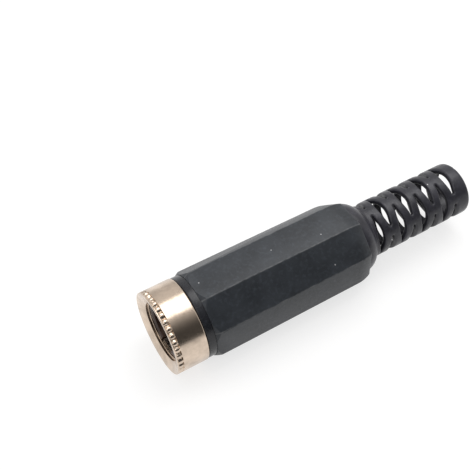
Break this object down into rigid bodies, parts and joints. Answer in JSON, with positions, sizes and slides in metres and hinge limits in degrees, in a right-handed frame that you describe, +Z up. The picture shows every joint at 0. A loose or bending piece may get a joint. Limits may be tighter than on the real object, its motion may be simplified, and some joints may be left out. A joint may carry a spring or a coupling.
{
  "type": "inline socket connector",
  "caption": "Inline round socket for a barrel plug, with a plated ring, an eight-sided black screw cover and a slotted strain relief for the cable.",
  "frame": {"origin": "centre of the mouth's front face, on the axis", "axes": "+X along the axis out of the mouth, +Z up with one flat of the cover on the surface below, +Y to the side"},
  "size_m": [0.0419, 0.01, 0.01],
  "materials": {
    "plated_brass": "warm nickel plating on turned brass, polished",
    "contact_strip": "tin plated strip, satin",
    "insulator_plastic": "black moulded plastic",
    "washer_board": "brown hard paper washer",
    "cover_plastic": "black moulded plastic, fine satin on the flats and smoother on the strain relief"
  },
  "bodies": {
    "core": {"shell": "plated_brass", "insulator": "insulator_plastic", "centre_pin": "plated_brass", "sleeve_contact": "contact_strip", "cable_clamp": "contact_strip", "insulating_washer": "washer_board", "centre_tag": "contact_strip"},
    "screw_cover": {"cover": "cover_plastic"}
  },
  "joints": [
    {"name": "cover_off", "type": "slide", "parent": "core", "child": "screw_cover", "axis": [-1, 0, 0], "range_m": [0, 0.0215]}
  ]
}
